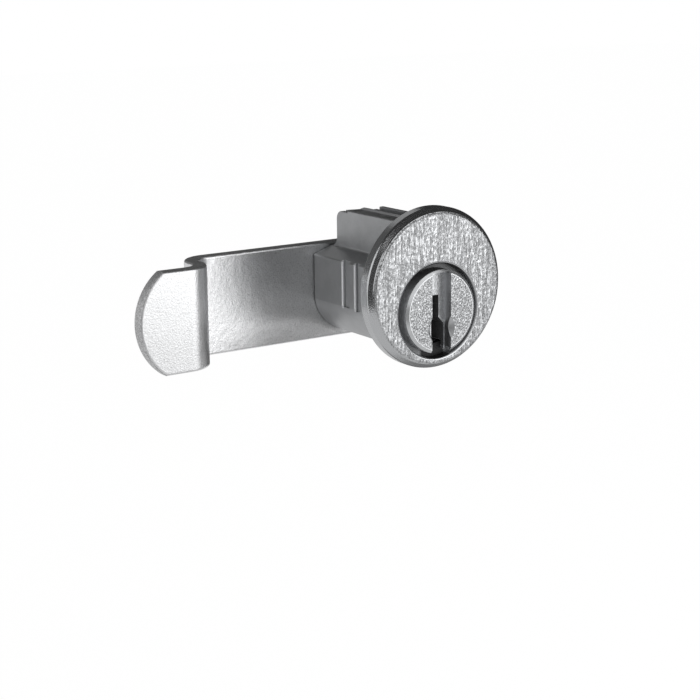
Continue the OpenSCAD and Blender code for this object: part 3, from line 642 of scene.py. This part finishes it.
def make_cam_zinc():
    """Bright zinc with fine dark pits, soft clouds and a slight ripple on the strip. It is grey and grainy
    along the sheared edges; painted shade darkens it next to the body, at the tip and along the long edges."""
    material, tree, shader, place = start_metal("cam_zinc")
    pits = use_group(tree, grain, {"Vector": place, "Width": ZINC_SPECKLE, "Length": ZINC_SPECKLE})
    clouds = use_group(tree, mottle, {"Vector": place, "Size": ZINC_CLOUDS})["Tone"]
    half_width = (cam_high.z - cam_low.z) / 2
    tip_radius = (half_width ** 2 + CAM_TIP_RISE ** 2) / (2 * CAM_TIP_RISE)
    to_tip = (-cam_low.x - tip_radius, 0.0, 0.0)
    moved = add_node(tree, "Mapping", {"Vector": place, "Location": to_tip}).outputs[0]
    blank = use_group(tree, disc_zone, {
        "Vector": moved,
        "Height": axis_z,
        "Radius": tip_radius - CAM_EDGE / 3,
        "Depth": cam_high.y + CAM_EDGE,
        "Feather": CAM_EDGE / 3,
    })["Zone"]
    axes = add_node(tree, "SeparateXYZ", {"Vector": place}).outputs
    tip_end = cam_low.x + 2 * CAM_TIP_RISE
    at_tip = sums(tree, "LESS_THAN", axes["X"], tip_end)
    sheared = sums(tree, "MULTIPLY", at_tip, sums(tree, "SUBTRACT", 1.0, blank))
    from_axis = sums(tree, "ABSOLUTE", sums(tree, "SUBTRACT", axes["Z"], axis_z))
    long_edge = sums(tree, "GREATER_THAN", from_axis, half_width - CAM_EDGE / 10)
    # Painted shade: the strip grows darker towards the body.
    to_bend = fade(tree, axes["X"], CAM_BRIGHT, CAM_SHADE_FULL, 1.0, 0.0)
    # Painted shade: the tip is darkened a little.
    tip_shade = fade(tree, axes["X"], tip_end, tip_end + CAM_TIP_RISE, TIP_PAINTED_SHADE, 0.0)
    bright = sums(tree, "SUBTRACT", between(tree, to_bend, *ZINC_SHADES), tip_shade)
    plated = sums(tree, "ADD", bright, sums(tree, "MULTIPLY", clouds, CLOUD_SHADE))
    cloud_shade = sums(tree, "SUBTRACT", plated, sums(tree, "MULTIPLY", pits["Ridge"], PEAK_SHADE))
    face_shade = sums(tree, "SUBTRACT", cloud_shade, sums(tree, "MULTIPLY", pits["Sparkle"], PIT_SHADE))
    # Painted shade: the long sheared edges are dark.
    blank_shade = between(tree, long_edge, face_shade, between(tree, pits["Ridge"], *LONG_EDGE_PAINTED_SHADES))
    shade = between(tree, sheared, blank_shade, between(tree, pits["Ridge"], *ARC_SHADES))
    rough = between(tree, sheared, between(tree, clouds, *ZINC_ROUGH), ARC_ROUGH)
    ripple = use_group(tree, mottle, {"Vector": place, "Size": ZINC_RIPPLE})["Tone"]
    on_strip = fade(tree, axes["X"], tip_end + CAM_TIP_RISE, tip_end + 2 * CAM_TIP_RISE)
    swell = sums(tree, "MULTIPLY", on_strip, RIPPLE_RELIEF / ZINC_RELIEF)
    height = sums(tree, "MULTIPLY_ADD", ripple, swell, pits["Ridge"])
    finish_metal(tree, shader, shade, ZINC_TINT, rough, height, ZINC_RELIEF)
    return material


dress(make_cam_zinc(), "cam")


# Stop washer, lock washer and cam screw: plated steel that holds the cam to the plug's tail.
# The stop washer turns with the plug, and its tab limits the turn.

STEEL_GRAIN = 0.15 * MM
STEEL_TONE = 1.5 * MM
STEEL_ROUGH = (0.26, 0.36)
WASHER_SHADES = (0.42, 0.54)
SCREW_SHADES = (0.55, 0.7)


def make_plated_steel(name, shades):
    """Dull plated steel between two shades, with a fine grain."""
    material, tree, shader, place = start_metal(name)
    fine = use_group(tree, grain, {"Vector": place, "Width": STEEL_GRAIN, "Length": STEEL_GRAIN})["Ridge"]
    tone = use_group(tree, mottle, {"Vector": place, "Size": STEEL_TONE})["Tone"]
    shade = between(tree, tone, *shades)
    finish_metal(tree, shader, shade, STEEL_TINT, between(tree, fine, *STEEL_ROUGH), fine, ZINC_RELIEF)
    return material


dress(make_plated_steel("washer_steel", WASHER_SHADES), "stop_washer", "lock_washer")
dress(make_plated_steel("screw_steel", SCREW_SHADES), "cam_screw")


# Studio: a pale floor below the lock, a white surround, a soft lamp, and paper cards round the set.
# Only reflections see the cards. They stand in a ring with its angles counted from the left towards the
# back, lie above the lock and on the floor, and one hangs as a grey flag below the head.

FLOOR_DROP = 0.06
FLOOR_HALF = 1.5
FLOOR_SHADE = (0.9, 0.9, 0.9, 1.0)
FLOOR_SHADOW = 0.12
FLOOR_GLOW = 1.07
CARD_RADIUS = 0.16
CARD_TOP = 0.15
CARD_MIDDLE = 0.02
CARD_NECK = 0.062
CARD_LOW = -0.014
CARD_STEP = 0.012
CARD_LIFT = 0.001
CARD_FLOOR = 0.136
CARD_FRONT = 0.235
FLAG_LEFT = -0.011
FLAG_RIGHT = 0.04
CARD_STEPS = 24
CARD_ROOF = 1.2 * CARD_RADIUS
WHITE = (1.0, 1.0, 1.0, 1.0)
SURROUND_GLOW = 0.5
LAMP_PLACE = (0.12, -0.2, 0.015)
LAMP_TARGET = (-0.01, 0.0, 0.0)
LAMP_SIZE = 0.16
LAMP_POWER = 0.094
floor_z = cad_low.z - FLOOR_DROP


def sheet_mesh(name, points):
    """A sheet of quads over a grid of points, (rows, columns, 3)."""
    rows, columns, _ = points.shape
    index = np.arange(rows * columns).reshape(rows, columns)
    corners = [index[:-1, :-1], index[:-1, 1:], index[1:, 1:], index[1:, :-1]]
    quads = np.stack(corners, axis=-1).reshape(-1, 4)
    mesh = bpy.data.meshes.new(name)
    mesh.from_pydata(points.reshape(-1, 3).tolist(), [], quads.tolist())
    return mesh


def stage_piece(name, points, material):
    """A piece of the studio, which isn't part of the lock."""
    made = bpy.data.objects.new(name, sheet_mesh(name, points))
    bpy.context.scene.collection.objects.link(made)
    made.data.materials.append(material)
    return made


def level_sheet(half, front, rear, height):
    """A level sheet at one height: X runs over both halves, Y from the front to the rear."""
    x, y = np.meshgrid([-half, half], [front, rear])
    return np.stack([x, y, np.full((2, 2), height)], axis=-1)


def upright_sheet(start, end, low, high):
    """Part of a cylinder round the lock: X is minus the cosine of an angle in degrees that counts from
    the left towards the back, Y is its sine, and Z runs from low to high."""
    angle = np.radians(np.linspace(start, end, CARD_STEPS))[None, :]
    height = np.array([[low], [high]])
    x = -CARD_RADIUS * np.cos(angle)
    y = CARD_RADIUS * np.sin(angle)
    return np.stack(np.broadcast_arrays(x, y, height), axis=-1)


def flag_sheet(left, right, low, high, depth):
    """A flat upright sheet across the view, at one depth along Y."""
    x, z = np.meshgrid([left, right], [low, high])
    return np.stack([x, np.full((2, 2), depth), z], axis=-1)


def white_for_views(tree):
    """1 for rays that show the surround itself: from the camera, in reflections and through glass."""
    light = tree.nodes.new("ShaderNodeLightPath").outputs
    seen = sums(tree, "MAXIMUM", light["Is Camera Ray"], light["Is Glossy Ray"])
    return sums(tree, "MAXIMUM", seen, light["Is Transmission Ray"])


def make_floor_white():
    """Pale matt floor, white where it is looked at, with the faint shadow of the lock left in it."""
    material = bpy.data.materials.new("studio_floor")
    material.use_nodes = True
    tree = material.node_tree
    tree.nodes.clear()
    matt = add_node(tree, "BsdfDiffuse", {"Color": FLOOR_SHADE}).outputs[0]
    white = add_node(tree, "Emission", {"Color": WHITE, "Strength": FLOOR_GLOW}).outputs[0]
    glow = sums(tree, "MULTIPLY", white_for_views(tree), 1.0 - FLOOR_SHADOW)
    mixed = add_node(tree, "MixShader", {0: glow, 1: matt, 2: white}).outputs[0]
    add_node(tree, "OutputMaterial", {"Surface": mixed})
    return material


def make_card_paper(name, shade):
    """Evenly lit paper of one shade of grey."""
    material = bpy.data.materials.new(name)
    material.use_nodes = True
    tree = material.node_tree
    tree.nodes.clear()
    paper = add_node(tree, "Emission", {"Color": WHITE, "Strength": shade}).outputs[0]
    add_node(tree, "OutputMaterial", {"Surface": paper})
    return material


stage_piece("floor", level_sheet(FLOOR_HALF, -FLOOR_HALF, FLOOR_HALF, floor_z), make_floor_white())
card_floor_z = floor_z + CARD_LIFT
flag_top = -head_radius - CARD_LIFT / 2
cards = {
    "card_front_left": (upright_sheet(-95.0, -38.0, floor_z, CARD_STEP), 0.36),
    "card_front_high": (upright_sheet(-95.0, -42.0, CARD_STEP, CARD_TOP), 0.9),
    "card_front_side": (upright_sheet(-42.0, -38.0, CARD_STEP, CARD_TOP), 0.05),
    "card_left": (upright_sheet(-38.0, -12.0, floor_z, CARD_TOP), 0.05),
    "card_side": (upright_sheet(-12.0, 42.0, CARD_LOW, CARD_TOP), 1.0),
    "card_side_low": (upright_sheet(10.0, 42.0, floor_z, CARD_LOW), 0.3),
    "card_side_glint": (upright_sheet(-12.0, 10.0, floor_z, CARD_LOW), 1.0),
    "card_back_left": (upright_sheet(42.0, 90.0, floor_z, CARD_MIDDLE), 0.66),
    "card_high": (upright_sheet(42.0, 90.0, CARD_MIDDLE, CARD_TOP), 0.12),
    "card_back": (upright_sheet(90.0, 120.0, floor_z, CARD_NECK), 0.06),
    "card_back_high": (upright_sheet(90.0, 120.0, CARD_NECK, CARD_TOP), 0.4),
    "card_back_right": (upright_sheet(120.0, 180.0, floor_z, CARD_TOP), 0.04),
    "card_right": (upright_sheet(180.0, 220.0, floor_z, CARD_TOP), 0.2),
    "card_top": (level_sheet(CARD_ROOF, -CARD_RADIUS / 2, CARD_ROOF, CARD_TOP), 0.05),
    "card_floor": (level_sheet(CARD_FLOOR, -CARD_FLOOR, CARD_FLOOR, card_floor_z), 0.69),
    "card_floor_front": (level_sheet(CARD_FRONT, -CARD_FRONT, -CARD_FLOOR, card_floor_z), 0.45),
    "flag_below_head": (flag_sheet(FLAG_LEFT, FLAG_RIGHT, floor_z, flag_top, CARD_LIFT), 0.25),
}
for name, (points, shade) in cards.items():
    card = stage_piece(name, points, make_card_paper(name, shade))
    card.visible_camera = False
    card.visible_diffuse = False
    card.visible_shadow = False

world = bpy.data.worlds.new("studio_white")
bpy.context.scene.world = world
world.use_nodes = True
surround = world.node_tree.nodes["Background"]
surround.inputs["Color"].default_value = WHITE
world_strength = between(world.node_tree, white_for_views(world.node_tree), SURROUND_GLOW, 1.0)
world.node_tree.links.new(world_strength, surround.inputs["Strength"])


def softbox(name, place, target, size, power):
    """A square lamp at a place, turned to a target."""
    lamp = bpy.data.lights.new(name, "AREA")
    lamp.size = size
    lamp.energy = power
    made = bpy.data.objects.new(name, lamp)
    made.location = place
    made.rotation_euler = (Vector(target) - Vector(place)).to_track_quat("-Z", "Y").to_euler()
    bpy.context.scene.collection.objects.link(made)


softbox("front_lamp", LAMP_PLACE, LAMP_TARGET, LAMP_SIZE, LAMP_POWER)


# Camera: a little above the lock, in front of it and to its left.
# Its place, turn and lens were worked out from the outlines of the head and the cam.

CAMERA_PLACE = Vector((-0.12979, -0.17550, 0.04317))
CAMERA_AZIMUTH = math.radians(-33.670)
CAMERA_ELEVATION = math.radians(13.416)
CAMERA_ROLL = math.radians(-0.662)
SENSOR_WIDTH = 36.0
FOCAL_LENGTH = 83.76
NEAR_LIMIT = 0.01

back = Vector((
    math.sin(CAMERA_AZIMUTH) * math.cos(CAMERA_ELEVATION),
    -math.cos(CAMERA_AZIMUTH) * math.cos(CAMERA_ELEVATION),
    math.sin(CAMERA_ELEVATION),
))
level = Vector((math.cos(CAMERA_AZIMUTH), math.sin(CAMERA_AZIMUTH), 0.0))
upright = back.cross(level)
right = math.cos(CAMERA_ROLL) * level + math.sin(CAMERA_ROLL) * upright
up = math.cos(CAMERA_ROLL) * upright - math.sin(CAMERA_ROLL) * level
lens = bpy.data.cameras.new("photo_camera")
lens.sensor_width = SENSOR_WIDTH
lens.lens = FOCAL_LENGTH
lens.clip_start = NEAR_LIMIT
camera = bpy.data.objects.new("photo_camera", lens)
turn = Matrix((right, up, back)).transposed().to_4x4()
camera.matrix_world = Matrix.Translation(CAMERA_PLACE) @ turn
bpy.context.scene.collection.objects.link(camera)
bpy.context.scene.camera = camera
bpy.context.scene.view_settings.view_transform = "Standard"
